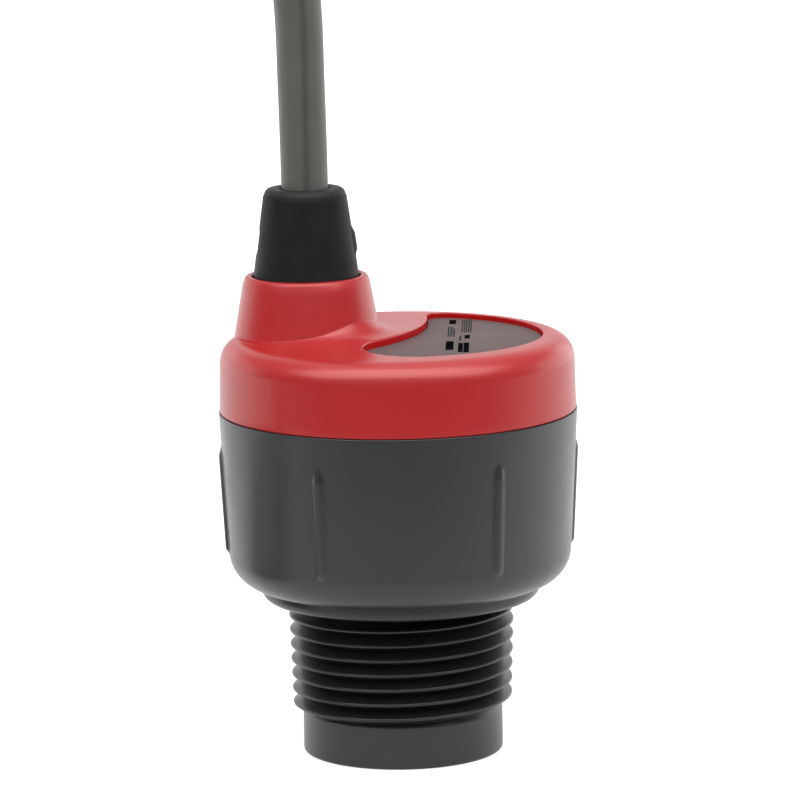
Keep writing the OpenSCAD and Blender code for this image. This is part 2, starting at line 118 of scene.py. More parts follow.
# The cap is laid over rays from the boss; they reach this share of the edge's rounding, and their steps
# crowd together towards it
CAP_RAYS = 200
EDGE_SHARE = 0.75
EDGE_CROWDING = 1.8

# Cable boss on the cap, and the cove that runs out from its foot; the foot lies within the spread of the
# rim, the cove is used up to its steepest share, and along its reach a ray has finer steps
BOSS = Vector((-13.2, 3.5, 0))
BOSS_TAPER = 10.1
BOSS_SLOPE = math.tan(math.radians(BOSS_TAPER))
BOSS_FILLET = 0.06
BOSS_BORE_R = 6.7
BOSS_SPREAD = 5
RIM_Z = 70.8
RIM_R = 9.2
RIM_EDGE = 0.7
SEAT_R = 8.05
SEAT_Z = 69.1
SEAT_EDGE = 0.25
COVE = Vector((-10.96, 1.815, 0))
COVE_FOOT_R = 12.8
COVE_FOOT_Z = 61.5
COVE_R = 5.9
COVE_BLEND = 1.2
COVE_STEEPEST = 0.999
COVE_REACH = 6

# Label window in the cap's top; its lip is rounded in steps of slope, the last of which runs on straight
WINDOW_AT = Vector((1, 1))
WINDOW_R = 20.5
WINDOW_SWEEP_R = 35.0
WINDOW_SWEEP_OUT = 34.7
WINDOW_TURN = 155
WINDOW_FRONT_ROUND = 8.0
WINDOW_REAR_ROUND = 2.5
WINDOW_Z = 60.7
WINDOW_LIP = 0.14
WINDOW_LIP_SLOPES = [90, 70, 50, 32]
WINDOW_LIP_RISE = 0.6
WINDOW_CUT_OVER = 4
# Faces whose normals rise less than this are upright
UPRIGHT = 0.5

# Label plate and its print; a mark is the x of its column at the label's middle, its width and the y of
# its two ends
LABEL_T = 0.6
LABEL_SLIP = 0.15
LABEL_EDGE = 0.08
INK_T = 0.02
PRINT_LEAN = math.radians(-1.4)
BOLD_MARKS = [(7.8, 1.15, -9.3, -1.6), (8.0, 1.0, 14.2, 18.0), (9.4, 0.7, -11.4, -3.4),
              (10.25, 0.8, -11.6, -3.0), (10.3, 0.8, 0.6, 3.8)]
FINE_MARKS = [(7.5, 0.25, 2.6, 11.6), (7.9, 0.25, 2.6, 11.6), (8.3, 0.25, 2.6, 9.8), (9.3, 0.3, -1.4, 3.4)]
LINE_X = 9.5
LINE_PITCH = 0.32
LINE_COUNT = 5
FINE_MARKS += [(LINE_X + LINE_PITCH * k, 0.2, 6.4, 18.1) for k in range(LINE_COUNT)]

# Rubber boot round the cable; the lug and the dimple are pushed out of its skin, in sectors of their own
# with finer steps
BOOT_FOOT_R = 8.0
BOOT_TOP_R = 6.0
BOOT_TOP_Z = 83.7
BOOT_EDGE = 1.0
BOOT_BORE_R = 3.6
BOOT_MOUTH = 0.3
BOOT_SKIN = 0.1
SHANK_R = 6.6
FLANGE_R = 8.0
FLANGE_Z = 56.9
LUG_LOW = 73.5
LUG_HIGH = 78.1
LUG_HALF_W = 1.6
LUG_PROUD = 0.36
LUG_ROUND = 1.3
LUG_SECTOR = 50
LUG_STEPS = 50
BETWEEN_LUGS_STEPS = 32
DIMPLE_DEPTH = 0.15

# Cable, with shallow valleys between the cores that lie under its jacket
CABLE_R = 3.5
CABLE_STEP = 2.5
CABLE_SIDES = 48
CABLE_CORES = 4
CABLE_LAY = 1600
CABLE_VALLEY = 0.25
VALLEY_NARROWING = 6
GROOVE = "groove"
CABLE_ROUTE = [
    (-13.2, 3.5, 60), (-13.2, 3.5, 70), (-13.2, 3.5, 84), (-13.4, 3.4, 98), (-13.8, 3, 112),
    (-15.5, 2, 126), (-20, 0, 139), (-28, -4, 150), (-39, -9, 156), (-51, -15, 156),
    (-62, -20, 150), (-71, -24, 140), (-76.5, -26.5, 127), (-78.5, -27.7, 113), (-79, -28, 98),
    (-79, -28, 84), (-79, -28, 70), (-79, -28, 56), (-79.3, -28, 44), (-81.5, -28, 33),
    (-86.5, -28, 23.5), (-94.5, -28, 15.5), (-102.5, -28, 12.2), (-106, -28, 11.6), (-110, -28, 11.6),
]

# Hank that the rest of the cable is folded into, and its tie
HANK_NEAR_X = -99
HANK_FAR_X = -149
HANK_OUTER = 28
HANK_INNER = 21
UPPER_Z = 11.6
LOWER_Z = 4.6
TIE_X = -128
TIE_W = 4.6
TIE_T = 1.1
TIE_CORNER = 2.4
TIE_HEAD = Vector((5.6, 5, 3))
TIE_TAIL = Vector((3.6, 2, 1.1))
TIE_TAIL_AT = Vector((0, -3.4, 1.6))
TIE_EDGE = 0.35

# Bare far end of the cable; the leads sink to the surface by shares of their height at the jacket
LEAD_SLOTS = [3, 0, 1, 2]
LEAD_COUNT = len(LEAD_SLOTS)
LEADS_X = -135
LEAD_R = 0.8
LEAD_ROOT_R = 1.35
LEAD_STRAIGHT = 3
LEAD_SINKING = [(-125, 0.55), (-117, 0.15), (-110, 0)]
LEAD_SPREAD = 1.8
LEAD_END_X = -99
TIP_R = 0.5
TIP_LENGTH = 6
TIP_STRANDS = 7
TIP_TWIST = 1.1

# Camera; the lens reaches so many metres
VIEW_TARGET = Vector((0.3, 0, 52.4))
VIEW_DISTANCE = 770
VIEW_ELEVATION = math.radians(10)
VIEW_ROLL = math.radians(-0.93)
VIEW_WIDTH = 117.8
LENS_SENSOR = 36
LENS_REACH = 20


def set_camera():
    """The photograph's view: a long lens a little above the cap, tipped very slightly."""
    lens = bpy.data.cameras.new("product_lens")
    lens.sensor_width = LENS_SENSOR
    lens.lens = LENS_SENSOR * VIEW_DISTANCE / VIEW_WIDTH
    lens.clip_end = LENS_REACH
    camera = bpy.data.objects.new("product_camera", lens)
    back = Vector((0, -math.cos(VIEW_ELEVATION), math.sin(VIEW_ELEVATION)))
    camera.location = (VIEW_TARGET + back * VIEW_DISTANCE) * MM
    camera.rotation_mode = "QUATERNION"
    camera.rotation_quaternion = (-back).to_track_quat("-Z", "Y") @ Quaternion((0, 0, 1), VIEW_ROLL)
    bpy.context.scene.collection.objects.link(camera)
    bpy.context.scene.camera = camera


# Shaping helpers

def arc(centre, radius, start, end, steps):
    """Points of an arc, from one angle to another."""
    turns = [math.radians(start + (end - start) * i / steps) for i in range(steps + 1)]
    return [(centre[0] + radius * math.cos(t), centre[1] + radius * math.sin(t)) for t in turns]


def steps_between(low, high, steps):
    """Evenly spaced values, both ends included."""
    return [low + (high - low) * i / steps for i in range(steps + 1)]


def ease(share):
    """A share from 0 to 1, slow at both ends."""
    share = min(max(share, 0), 1)
    return share * share * (3 - 2 * share)


def spin_section(bm, section, axis=Vector((0, 0, 0)), sectors=((360, ROUND_STEPS),), start=0, closed=False):
    """Spins a section of (radius, height) points round an upright axis, in sectors of their own steps."""
    side = Matrix.Rotation(math.radians(start), 3, "Z") @ Vector((1, 0, 0))
    verts = [bm.verts.new(axis + side * r + UP * z) for r, z in section]
    edges = [bm.edges.new(pair) for pair in zip(verts, verts[1:])]
    if closed:
        edges.append(bm.edges.new((verts[-1], verts[0])))
    spun = verts + edges
    for angle, steps in sectors:
        spun = bmesh.ops.spin(bm, geom=spun, cent=axis, axis=UP, angle=math.radians(angle),
                              steps=steps, use_merge=len(sectors) == 1)["geom_last"]


def wrap_rings(bm, rings):
    """Lays a grid over closed rings of points, all of one length."""
    columns = len(rings[0])
    rows = len(rings) - 1
    half = 0.5
    grid = bmesh.ops.create_grid(bm, x_segments=columns, y_segments=rows, size=half)["verts"]
    for vert in grid:
        column = round((vert.co.x + half) * columns)
        row = round((vert.co.y + half) * rows)
        vert.co = rings[row][column % columns]


def sweep(bm, path, section):
    """Carries a closed section along a path without turning it; section(i) lists ring i's offsets."""
    rings = []
    across = Vector((1, 0, 0))
    for i, point in enumerate(path):
        heading = (path[min(i + 1, len(path) - 1)] - path[max(i - 1, 0)]).normalized()
        across = (across - heading * across.dot(heading)).normalized()
        beside = heading.cross(across)
        rings.append([point + across * a + beside * b for a, b in section(i)])
    wrap_rings(bm, rings)


def round_section(radius, sides):
    """Offsets of a round section."""
    return arc((0, 0), radius, 0, 360 * (sides - 1) / sides, sides - 1)


def smooth_route(points, step):
    """Points about one step apart on a smooth curve through a route's points."""
    points = [Vector(p) for p in points]
    ends = [2 * points[0] - points[1], *points, 2 * points[-1] - points[-2]]
    curve = []
    for a, b, c, d in zip(ends, ends[1:], ends[2:], ends[3:]):
        count = max(1, round((c - b).length / step))
        for i in range(count):
            t = i / count
            curve.append(0.5 * (2 * b + (c - a) * t + (2 * a - 5 * b + 4 * c - d) * t ** 2
                                + (3 * b - a - 3 * c + d) * t ** 3))
    return [*curve, points[-1]]


def even_steps(points, step):
    """Points about one step apart along a line of points, its end included."""
    line = [points[0]]
    for a, b in zip(points, points[1:]):
        length = (b - a).length
        if length > TOUCH:
            count = max(1, round(length / step))
            line += [a.lerp(b, i / count) for i in range(1, count + 1)]
    return line


def mark_sharp(bm, sharp):
    """Shades smooth across every edge that bends less than an angle."""
    for face in bm.faces:
        face.smooth = True
    for edge in bm.edges:
        edge.smooth = edge.calc_face_angle(0) < math.radians(sharp)


def settle(bm):
    """Merges seams and poles, closes open ends, turns faces outwards and marks the sharp edges."""
    bmesh.ops.remove_doubles(bm, verts=bm.verts, dist=WELD)
    bmesh.ops.holes_fill(bm, edges=[e for e in bm.edges if e.is_boundary], sides=0)
    bmesh.ops.recalc_face_normals(bm, faces=bm.faces)
    mark_sharp(bm, SHARP)


def put_in_scene(bm, name):
    """Makes the mesh an object of the scene."""
    mesh = bpy.data.meshes.new(name)
    bm.to_mesh(mesh)
    bm.free()
    placed = bpy.data.objects.new(name, mesh)
    bpy.context.scene.collection.objects.link(placed)
    return placed


def put_in_frame(bm, name, material, nodes=()):
    """Makes the finished mesh a piece of the sensor, in metres, in the place of its plain solids."""
    bmesh.ops.scale(bm, vec=(MM, MM, MM), verts=bm.verts)
    piece = put_in_scene(bm, name)
    piece.data.materials.append(material)
    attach(piece, "root")
    if nodes:
        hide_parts(*nodes)
    return piece


# Materials

# Values that the noise keeps between, and how finely it is broken up
NOISE_LOW = 0.3
NOISE_HIGH = 0.7
MOTTLE_DETAIL = 3
GRAIN_DETAIL = 2
# A toned band fades to either side of its ends, and one that takes in a piece's end runs on past it
BAND_FADE = 0.1
BAND_PAST = 1
# Shares of a material's colour that are left where it is toned, and how far down from the boot's top its
# painted highlight reaches
THREAD_SHADE_TONE = 0.15
NOSE_SHADE_TONE = 0.5
BOOT_HIGHLIGHT_TONE = 2.0
BOOT_HIGHLIGHT_REACH = 0.8
GROOVE_SHADE_TONE = 0.6


def srgb(code):
    """Linear colour of an sRGB hex value."""
    parts = [int(code[i:i + 2], 16) / 255 for i in (0, 2, 4)]
    return [p / 12.92 if p <= 0.04045 else ((p + 0.055) / 1.055) ** 2.4 for p in parts] + [1]


def add(tree, kind, values=None, links=None, **settings):
    """Adds a node with its settings, and its input values and links by socket identifier."""
    node = tree.nodes.new(kind)
    for name, value in settings.items():
        setattr(node, name, value)
    sockets = {socket.identifier: socket for socket in node.inputs}
    for name, value in (values or {}).items():
        sockets[name].default_value = value
    for name, source in (links or {}).items():
        tree.links.new(source, sockets[name])
    return node


def surface(name, deep, pale, mottle, grain, depth, rough, **constants):
    """A material that drifts between two colours and two roughnesses over patches of one size in
    millimetres, with a grain of a smaller size and depth; constants are the shader's own values."""
    material = bpy.data.materials.new(name)
    material.use_nodes = True
    tree = material.node_tree
    shader = tree.nodes["Principled BSDF"]
    for socket, value in constants.items():
        shader.inputs[socket.replace("_", " ")].default_value = value
    place = add(tree, "ShaderNodeTexCoord").outputs["Object"]
    patches = add(tree, "ShaderNodeTexNoise", {"Scale": 1 / (mottle * MM), "Detail": MOTTLE_DETAIL},
                  {"Vector": place}).outputs["Fac"]
    colour = add(tree, "ShaderNodeMix", {"A_Color": srgb(deep), "B_Color": srgb(pale)},
                 {"Factor_Float": patches}, data_type="RGBA").outputs[2]
    gloss = add(tree, "ShaderNodeMapRange", {"From Min": NOISE_LOW, "From Max": NOISE_HIGH,
                                             "To Min": rough[0], "To Max": rough[1]},
                {"Value": patches}).outputs[0]
    pits = add(tree, "ShaderNodeTexNoise", {"Scale": 1 / (grain * MM), "Detail": GRAIN_DETAIL},
               {"Vector": place}).outputs["Fac"]
    relief = add(tree, "ShaderNodeBump", {"Distance": depth * MM}, {"Height": pits}).outputs[0]
    for socket, source in (("Base Color", colour), ("Roughness", gloss), ("Normal", relief)):
        tree.links.new(source, shader.inputs[socket])
    return material


def tone(tree, mask, share):
    """Brings a material's colour to a share of what it is, where a mask says so."""
    base = tree.nodes["Principled BSDF"].inputs["Base Color"]
    toned = add(tree, "ShaderNodeMix", {"B_Color": (share, share, share, 1)},
                {"Factor_Float": mask, "A_Color": base.links[0].from_socket},
                data_type="RGBA", blend_type="MULTIPLY").outputs[2]
    tree.links.new(toned, base)


def tone_band(material, low, high, share):
    """Tones a material between two heights."""
    tree = material.node_tree
    place = add(tree, "ShaderNodeTexCoord").outputs["Object"]
    height = add(tree, "ShaderNodeSeparateXYZ", links={"Vector": place}).outputs["Z"]
    over = add(tree, "ShaderNodeMapRange", {"From Min": (low - BAND_FADE) * MM,
                                            "From Max": (low + BAND_FADE) * MM},
               {"Value": height}).outputs[0]
    under = add(tree, "ShaderNodeMapRange", {"From Min": (high + BAND_FADE) * MM,
                                             "From Max": (high - BAND_FADE) * MM},
                {"Value": height}).outputs[0]
    band = add(tree, "ShaderNodeMath", links={"Value": over, "Value_001": under},
               operation="MULTIPLY").outputs[0]
    tone(tree, band, share)


def paint_groove_shade(material, share):
    """Tones a material along the grooves that its mesh carries as an attribute."""
    tree = material.node_tree
    grooves = add(tree, "ShaderNodeAttribute", attribute_name=GROOVE).outputs["Fac"]
    tone(tree, grooves, share)


# Glass-filled polyester, moulded in a finely etched tool: dark, satin, paler where it turns away
grey_polyester = surface("moulded_grey_polyester", "2B2D30", "303235", mottle=9, grain=0.35, depth=0.006,
                         rough=(0.28, 0.36), IOR=1.55)
# The thread and its collar are darkened: painted shade under the body's overhang
tone_band(grey_polyester, THREAD_Z, BODY_Z - BAND_FADE / 2, THREAD_SHADE_TONE)
# The nose below it is darkened too: painted shade
tone_band(grey_polyester, -BAND_PAST, THREAD_Z, NOSE_SHADE_TONE)
# ABS, moulded in a polished tool: strong red with a soft, broad gloss
red_abs = surface("moulded_red_abs", "B4191B", "BA1D1F", mottle=12, grain=0.4, depth=0.004,
                  rough=(0.28, 0.33), IOR=1.53)
# The same ABS on the window's wall, where the tool is etched: deeper red and matt
etched_red_abs = surface("etched_red_abs", "B01014", "B61418", mottle=6, grain=0.3, depth=0.004,
                         rough=(0.6, 0.7), Specular_IOR_Level=0.05)
# Polycarbonate film on the label plate: mid grey and nearly even, with a matt lacquer
label_film = surface("matt_label_film", "675857", "6D5D5C", mottle=6, grain=0.3, depth=0.003,
                     rough=(0.55, 0.62), IOR=1.2)
# Screen-printed ink: flat black, without gloss
black_ink = surface("screen_print_ink", "0B0B0C", "121213", mottle=2, grain=0.2, depth=0.002,
                    rough=(0.6, 0.7), Specular_IOR_Level=0)
# The same ink printed thin in fine lines: dark grey, as the film shows through
grey_ink = surface("thin_screen_print_ink", "3A3B3B", "444545", mottle=2, grain=0.2, depth=0.002,
                   rough=(0.6, 0.7), Specular_IOR_Level=0)
# Moulded thermoplastic rubber: near black and dull, with a fine bloom
boot_rubber = surface("moulded_black_rubber", "18181A", "202022", mottle=4, grain=0.3, depth=0.01,
                      rough=(0.5, 0.6), IOR=1.25)
# Its top edge is lightened: a painted highlight along the rounded top
tone_band(boot_rubber, BOOT_TOP_Z - BOOT_HIGHLIGHT_REACH, BOOT_TOP_Z + BAND_PAST, BOOT_HIGHLIGHT_TONE)
# Extruded PVC cable jacket: mid grey with a faint olive cast and a waxy sheen
cable_pvc = surface("extruded_grey_pvc", "575753", "61615C", mottle=7, grain=0.5, depth=0.01,
                    rough=(0.42, 0.52), IOR=1.53)
# Painted shade darkens the shallow grooves between the cores
paint_groove_shade(cable_pvc, GROOVE_SHADE_TONE)
# Nylon of the cable tie: black with a moulded sheen
tie_nylon = surface("black_nylon", "141415", "1C1C1D", mottle=3, grain=0.25, depth=0.006,
                    rough=(0.38, 0.46), IOR=1.53)
# Tinned copper strands: pale, soft metal, brighter along each strand
tinned_copper = surface("tinned_copper_strand", "B4B3AC", "C9C8C1", mottle=1, grain=0.15, depth=0.003,
                        rough=(0.28, 0.4), Metallic=1)
# Thin PVC on the leads, coloured right through, with the gloss that a fast extruder leaves
LEAD_COLOURS = {"red": ("9E1B1B", "AE2222"), "black": ("121212", "1B1B1B"),
                "white": ("CFCDC6", "DAD8D2"), "green": ("1F6B3A", "267A44")}
lead_pvc = {colour: surface("thin_pvc_" + colour, *tones, mottle=3, grain=0.2, depth=0.003,
                            rough=(0.3, 0.4), IOR=1.53)
            for colour, tones in LEAD_COLOURS.items()}


# Cable, the hank and the cable's far end

def hank_path():
    """The cable's middle line from inside the boot, through the hank to where the jacket ends."""
    turns = [(HANK_FAR_X, -HANK_OUTER, HANK_OUTER, UPPER_Z, UPPER_Z),
             (HANK_NEAR_X, HANK_OUTER, -HANK_INNER, UPPER_Z, UPPER_Z),
             (HANK_FAR_X, -HANK_INNER, HANK_INNER, UPPER_Z, UPPER_Z),
             (HANK_NEAR_X, HANK_INNER, -HANK_INNER, UPPER_Z, LOWER_Z),
             (HANK_FAR_X, -HANK_INNER, HANK_INNER, LOWER_Z, LOWER_Z),
             (HANK_NEAR_X, HANK_INNER, -HANK_OUTER, LOWER_Z, LOWER_Z),
             (HANK_FAR_X, -HANK_OUTER, HANK_OUTER, LOWER_Z, LOWER_Z)]
    points = smooth_route(CABLE_ROUTE, CABLE_STEP)
    for x, start, end, high, low in turns:
        middle = (start + end) / 2
        reach = math.copysign(max(abs(start), abs(end)), x - (HANK_NEAR_X + HANK_FAR_X) / 2)
        for share in steps_between(0, 1, steps=30):
            turn = math.pi * share
            points.append(Vector((x + reach * math.sin(turn), middle + (start - middle) * math.cos(turn),
                                  high + (low - high) * ease(share))))
    points.append(Vector((LEADS_X, HANK_OUTER, LOWER_Z)))
    return even_steps(points, CABLE_STEP)


def cable_section(i):
    """The jacket's section at step i: round, drawn in a little between the cores that lie under it."""
    lay = math.tau * i * CABLE_STEP / CABLE_LAY
    offsets = []
    for k in range(CABLE_SIDES):
        turn = math.tau * k / CABLE_SIDES
        valley = max(0, math.cos(CABLE_CORES * (turn - lay))) ** VALLEY_NARROWING
        radius = CABLE_R - CABLE_VALLEY * valley
        offsets.append((radius * math.cos(turn), radius * math.sin(turn)))
    return offsets


def make_cable(path):
    """The jacket, with the depth of its valleys kept as an attribute for the material."""
    bm = bmesh.new()
    sweep(bm, path, cable_section)
    groove = bm.verts.layers.float.new(GROOVE)
    for i, vert in enumerate(bm.verts):
        middle = path[i // (CABLE_SIDES + 1)]
        vert[groove] = (CABLE_R - (vert.co - middle).length) / CABLE_VALLEY
    settle(bm)
    return put_in_frame(bm, "cable", cable_pvc, ["cable_run", "cable_hank"])


def make_tie():
    """Nylon tie round a bundle two cables wide and high: a rounded band, its head and the cut tail."""
    half = 2 * CABLE_R + TIE_T
    inset = half - TIE_CORNER
    middle = Vector((TIE_X, -(HANK_OUTER + HANK_INNER) / 2, (UPPER_Z + LOWER_Z) / 2))
    rings = []
    for across, grow in ((-TIE_W / 2, -TIE_T), (-TIE_W / 2, 0), (TIE_W / 2, 0), (TIE_W / 2, -TIE_T)):
        loop = []
        for k, (y, z) in enumerate(((1, 1), (-1, 1), (-1, -1), (1, -1))):
            loop += arc((y * inset, z * inset), TIE_CORNER + grow, 90 * k, 90 * k + 90, steps=6)
        rings.append([middle + Vector((across, y, z)) for y, z in loop])
    bm = bmesh.new()
    wrap_rings(bm, [*rings, rings[0]])
    bmesh.ops.remove_doubles(bm, verts=bm.verts, dist=WELD)
    top = middle + UP * half
    for place, size in ((top + UP * TIE_HEAD.z / 2, TIE_HEAD), (top + TIE_TAIL_AT, TIE_TAIL)):
        block = Matrix.Translation(place) @ Matrix.Diagonal((*size, 1))
        corners = bmesh.ops.create_cube(bm, size=1, matrix=block)["verts"]
        edges = list(dict.fromkeys(e for v in corners for e in v.link_edges))
        bmesh.ops.bevel(bm, geom=edges, offset=TIE_EDGE, segments=3, profile=0.5, material=-1,
                        affect="EDGES")
    settle(bm)
    return put_in_frame(bm, "cable_tie", tie_nylon, ["hank_tie"])


def lead_y(i):
    """Where lead i lies, side by side with the others."""
    return HANK_OUTER + (LEAD_SLOTS[i] - (LEAD_COUNT - 1) / 2) * LEAD_SPREAD


def make_lead(i, colour):
    """One of the insulated leads that fan out of the jacket and lie on the surface."""
    turn = math.tau * (i + 0.5) / LEAD_COUNT
    root = Vector((LEADS_X, HANK_OUTER + LEAD_ROOT_R * math.cos(turn),
                   LOWER_Z + LEAD_ROOT_R * math.sin(turn)))
    drop = root.z - LEAD_R
    route = [root, root + Vector((LEAD_STRAIGHT, 0, 0))]
    route += [(x, lead_y(i), LEAD_R + drop * share) for x, share in LEAD_SINKING]
    route.append((LEAD_END_X, lead_y(i), LEAD_R))
    bm = bmesh.new()
    sweep(bm, smooth_route(route, step=1), lambda step: round_section(LEAD_R, sides=16))
    settle(bm)
    return put_in_frame(bm, colour + "_lead", lead_pvc[colour], ["lead_" + colour])


def make_tips():
    """The bare ends: tinned strands twisted together on each lead, one in the middle of the others."""
    strand_r = TIP_R / 3
    bm = bmesh.new()
    for i in range(LEAD_COUNT):
        start = Vector((LEAD_END_X, lead_y(i), LEAD_R))
        for k in range(TIP_STRANDS):
            ring = 2 * strand_r if k else 0
            path = []
            for x in steps_between(0, TIP_LENGTH, steps=18):
                turn = x * TIP_TWIST + k * math.tau / (TIP_STRANDS - 1)
                path.append(start + Vector((x, ring * math.cos(turn), ring * math.sin(turn))))
            sweep(bm, path, lambda step: round_section(strand_r, sides=8))
    settle(bm)
    return put_in_frame(bm, "bare_strands", tinned_copper, ["lead_tips"])


set_camera()
cable_path = hank_path()
cable = make_cable(cable_path)
tie = make_tie()
leads = [make_lead(i, colour) for i, colour in enumerate(LEAD_COLOURS)]
tips = make_tips()


# Housing

def crest_at(z):
    """Crest radius of the tapered thread."""
    return THREAD_R - (COLLAR_Z - z) * THREAD_TAPER


def wall_at(z):
    """Outside radius of the drafted body wall."""
    return FOOT_R + (BODY_R - FOOT_R) * (z - BODY_Z - FOOT_ROUND) / (SEAM_Z - BODY_Z - FOOT_ROUND)


def wind_thread(bm):
    """Winds one pitch of the thread's section up the nose as a right-hand helix, then tapers it and
    lets it run in from the nose and out under the collar."""
    root = THREAD_R - THREAD_DEPTH
    crest_z = THREAD_CREST_Z - THREAD_TURNS_BELOW * THREAD_PITCH
    section = [(root, crest_z - THREAD_PITCH / 2),
               *arc((THREAD_R - CREST_ROUND, crest_z), CREST_ROUND, -CREST_TURN, CREST_TURN, steps=6),
               (root, crest_z + THREAD_PITCH / 2)]
    verts = [bm.verts.new((r, 0, z)) for r, z in section]
    edges = [bm.edges.new(pair) for pair in zip(verts, verts[1:])]
    bmesh.ops.spin(bm, geom=verts + edges, axis=UP, dvec=UP * THREAD_PITCH / ROUND_STEPS,
                   angle=math.tau * THREAD_TURNS, steps=THREAD_TURNS * ROUND_STEPS)
    bmesh.ops.remove_doubles(bm, verts=bm.verts, dist=WELD)
    for height, trimmed in ((THREAD_Z, "clear_inner"), (COLLAR_Z, "clear_outer")):
        whole = [*bm.verts, *bm.edges, *bm.faces]
        bmesh.ops.bisect_plane(bm, geom=whole, plane_co=UP * height, plane_no=UP, dist=HAIR,
                               **{trimmed: True})
    for vert in bm.verts:
        radius = math.hypot(vert.co.x, vert.co.y)
        run_in = NOSE_R - RUN_IN_SINK + (vert.co.z - THREAD_Z) * RUN_IN_SLOPE
        run_out = root + (COLLAR_Z - vert.co.z) * RUN_OUT_SLOPE
        wanted = min(radius - THREAD_R + crest_at(vert.co.z), run_in, run_out)
        vert.co.x *= wanted / radius
        vert.co.y *= wanted / radius


def nose_section():
    """Half the nose's section, from the middle of the face to just below the thread; the ring close
    under its top keeps the shading of the joint off the plain side."""
    edge = arc((NOSE_R - NOSE_EDGE, NOSE_EDGE), NOSE_EDGE, -90, 0, steps=8)
    return [(0, 0), *edge, (NOSE_R, THREAD_Z - 2 * NOSE_GAP), (NOSE_R, THREAD_Z - NOSE_GAP)]


def body_section():
    """Half the body's section: the collar, the rounded foot and the drafted wall up to the seam, then
    down the inside to the bore and the face."""
    foot = (FOOT_R - FOOT_ROUND, BODY_Z + FOOT_ROUND)
    foot_start = math.degrees(math.asin((COLLAR_R + FOOT_LIP - foot[0]) / FOOT_ROUND)) - 90
    foot_arc = arc(foot, FOOT_ROUND, foot_start, 0, steps=24)
    collar = (COLLAR_R - COLLAR_EDGE, COLLAR_Z + COLLAR_EDGE)
    outside = [(THREAD_R - THREAD_DEPTH + NECK_STEP, COLLAR_Z), *arc(collar, COLLAR_EDGE, -90, 0, steps=8),
               (COLLAR_R, foot_arc[0][1]), *foot_arc]
    outside += [(wall_at(z), z) for z in steps_between(foot[1], SEAM_Z - BODY_LIP, steps=52)[1:]]
    outside += arc((BODY_R - BODY_LIP, SEAM_Z - BODY_LIP), BODY_LIP, 0, 90, steps=4)[1:]
    inside = [(MOUTH_R, SEAM_Z), (MOUTH_R, MOUTH_Z), *arc(foot, FOOT_ROUND - WALL, 0, -90, steps=8),
              (COLLAR_R - WALL, BODY_Z + WALL), (COLLAR_R - WALL, COLLAR_Z + WALL),
              (BORE_R, COLLAR_Z + WALL), (BORE_R, FACE_WALL), (0, FACE_WALL)]
    return outside + inside


def raise_ribs(bm):
    """Swells the body wall into the grip ribs, round in section and at their ends."""
    pitch = math.tau / RIB_COUNT
    for vert in bm.verts:
        radius = math.hypot(vert.co.x, vert.co.y)
        if vert.co.z < RIB_LOW or radius < wall_at(vert.co.z) - WALL / 2:
            continue
        turn = math.atan2(vert.co.y, vert.co.x) - math.radians(RIB_TURN)
        aside = ((turn + pitch / 2) % pitch - pitch / 2) * radius
        below = max(RIB_LOW + RIB_HALF_W - vert.co.z, 0) / RIB_HALF_W
        above = max(vert.co.z - RIB_HIGH + RIB_RUN_OUT, 0) / RIB_RUN_OUT
        share = 1 - math.hypot(aside / RIB_HALF_W, below, above)
        rise = RIB_PROUD * ease(share * RIB_STEEPNESS)
        vert.co.x *= 1 + rise / radius
        vert.co.y *= 1 + rise / radius


def make_housing():
    """Nose, thread and ribbed body in one moulding, hollow for the transducer and the boards."""
    bm = bmesh.new()
    wind_thread(bm)
    spin_section(bm, nose_section())
    rib_sector = (RIB_SECTOR, RIB_STEPS)
    plain_sector = (360 / RIB_COUNT - RIB_SECTOR, BETWEEN_RIBS_STEPS)
    spin_section(bm, body_section(), sectors=[rib_sector, plain_sector] * RIB_COUNT,
                 start=RIB_TURN - RIB_SECTOR / 2)
    bmesh.ops.remove_doubles(bm, verts=bm.verts, dist=WELD)
    raise_ribs(bm)
    for height in (THREAD_Z, COLLAR_Z):
        rims = [e for e in bm.edges if e.is_boundary and abs(e.verts[0].co.z - height) < JOIN_REACH]
        bmesh.ops.bridge_loops(bm, edges=rims)
    settle(bm)
    put_in_frame(bm, "housing", grey_polyester, ["sensor_housing"])


# Cap

def crown_z(x, y):
    """Height of the crowned top, and of the rounding that turns it down into the side."""
    radius = math.hypot(x, y)
    if radius <= CAP_TOP_R:
        return CAP_TOP_Z - CAP_CROWN * (radius / CAP_TOP_R) ** 2
    return CAP_EDGE_Z + math.sqrt(max(CAP_EDGE ** 2 - (radius - CAP_TOP_R) ** 2, 0))


def top_z(x, y):
    """Height of the top with the hollow cove that sweeps up to the boss, blended where they meet."""
    crown = crown_z(x, y)
    inside = COVE_FOOT_R - math.hypot(x - COVE.x, y - COVE.y)
    if inside <= 0:
        return crown
    inside = min(inside, COVE_R * COVE_STEEPEST)
    cove = COVE_FOOT_Z + COVE_R - math.sqrt(COVE_R ** 2 - inside ** 2)
    near = max(COVE_BLEND - abs(crown - cove), 0) / COVE_BLEND
    return max(crown, cove) + near ** 2 * COVE_BLEND / 4


def boss_z(out):
    """Height of the boss's sloped side at a distance from the boss's axis."""
    return RIM_Z - (out - RIM_R) / BOSS_SLOPE


def boss_foot(ray):
    """Distance along a ray from the boss's axis at which its side meets the cap's top, by halving."""
    low = RIM_R
    high = RIM_R + BOSS_SPREAD
    while high - low > HAIR:
        middle = (low + high) / 2
        point = BOSS + ray * middle
        if boss_z(middle) > top_z(point.x, point.y):
            low = middle
        else:
            high = middle
    return low


def reach_circle(ray, radius):
    """Distance along a ray from the boss's axis to a circle round the cap's own axis."""
    along = ray.dot(BOSS)
    return -along + math.sqrt(along ** 2 - BOSS.length_squared + radius ** 2)


